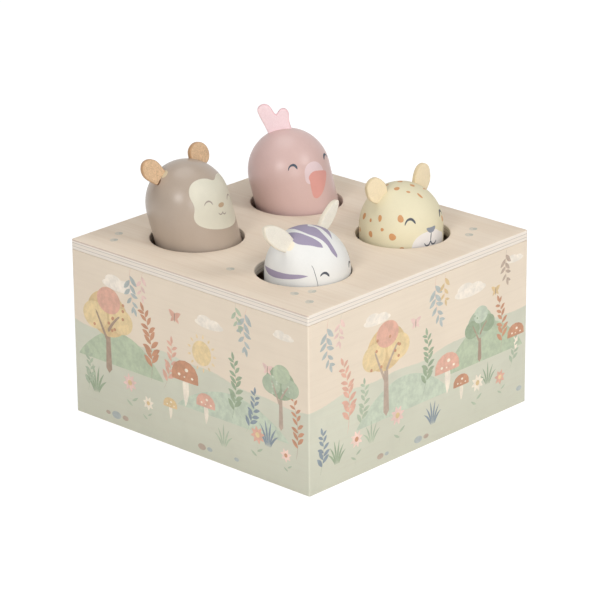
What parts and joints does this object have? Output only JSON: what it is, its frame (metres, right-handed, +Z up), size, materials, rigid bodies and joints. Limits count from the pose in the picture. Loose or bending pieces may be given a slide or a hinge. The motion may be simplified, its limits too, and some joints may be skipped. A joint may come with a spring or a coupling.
{
  "type": "pop up animal toy",
  "caption": "Wooden toy box with round holes in its lid; in each hole a domed animal peg stands on a spring, is pushed down and pops up again.",
  "frame": {"origin": "middle of the box's underside, on the surface that it stands on", "axes": "+Z up out of the lid; the animals face -Y, which is the front; +X is to the right as seen from the front. The monkey's hole is at (-X, +Y), the bird's at (+X, +Y), the zebra's at (-X, -Y), the leopard's at (+X, -Y)"},
  "size_m": [0.15, 0.15, 0.1335],
  "materials": {
    "birch_plywood": "matte",
    "printed_board": "matte",
    "beech": "matte",
    "screw_steel": "satin",
    "spring_steel": "satin",
    "taupe_paint": "satin",
    "rose_paint": "satin",
    "white_paint": "satin",
    "cream_paint": "satin",
    "tan_leather": "matte",
    "cream_leather": "matte",
    "ivory_felt": "matte",
    "pink_felt": "matte"
  },
  "bodies": {
    "box": {"lid": "birch_plywood", "base_board": "birch_plywood", "front_panel": "printed_board", "right_panel": "printed_board", "back_panel": "printed_board", "left_panel": "printed_board", "front_left_corner_block": "beech", "back_left_corner_block": "beech", "front_right_corner_block": "beech", "back_right_corner_block": "beech", "base_screws": "screw_steel", "spring_foot_screws": "screw_steel", "monkey_spring": "spring_steel", "monkey_spring_foot": "beech", "bird_spring": "spring_steel", "bird_spring_foot": "beech", "zebra_spring": "spring_steel", "zebra_spring_foot": "beech", "leopard_spring": "spring_steel", "leopard_spring_foot": "beech"},
    "monkey": {"monkey": "taupe_paint", "monkey_left_ear": "tan_leather", "monkey_right_ear": "tan_leather", "monkey_spring_plug": "beech", "monkey_plug_screw": "screw_steel"},
    "bird": {"bird": "rose_paint", "bird_crest": "pink_felt", "bird_spring_plug": "beech", "bird_plug_screw": "screw_steel"},
    "zebra": {"zebra": "white_paint", "zebra_left_ear": "ivory_felt", "zebra_right_ear": "ivory_felt", "zebra_spring_plug": "beech", "zebra_plug_screw": "screw_steel"},
    "leopard": {"leopard": "cream_paint", "leopard_left_ear": "cream_leather", "leopard_right_ear": "cream_leather", "leopard_spring_plug": "beech", "leopard_plug_screw": "screw_steel"}
  },
  "joints": [
    {"name": "monkey_press", "type": "slide", "parent": "box", "child": "monkey", "axis": [-0.1598, 0.1702, 0.9724], "range_m": [-0.0282, 0], "stiffness_N_per_m": 340, "springref_m": 0.00113, "deforming": ["monkey_spring"]},
    {"name": "bird_press", "type": "slide", "parent": "box", "child": "bird", "axis": [-0.1482, 0.1578, 0.9763], "range_m": [-0.0267, 0], "stiffness_N_per_m": 340, "springref_m": 0.00112, "deforming": ["bird_spring"]},
    {"name": "zebra_press", "type": "slide", "parent": "box", "child": "zebra", "axis": [0, 0, 1], "range_m": [-0.011, 0], "stiffness_N_per_m": 340, "springref_m": 0.00115, "deforming": ["zebra_spring"]},
    {"name": "leopard_press", "type": "slide", "parent": "box", "child": "leopard", "axis": [0, 0, 1], "range_m": [-0.0148, 0], "stiffness_N_per_m": 340, "springref_m": 0.00117, "deforming": ["leopard_spring"]}
  ]
}
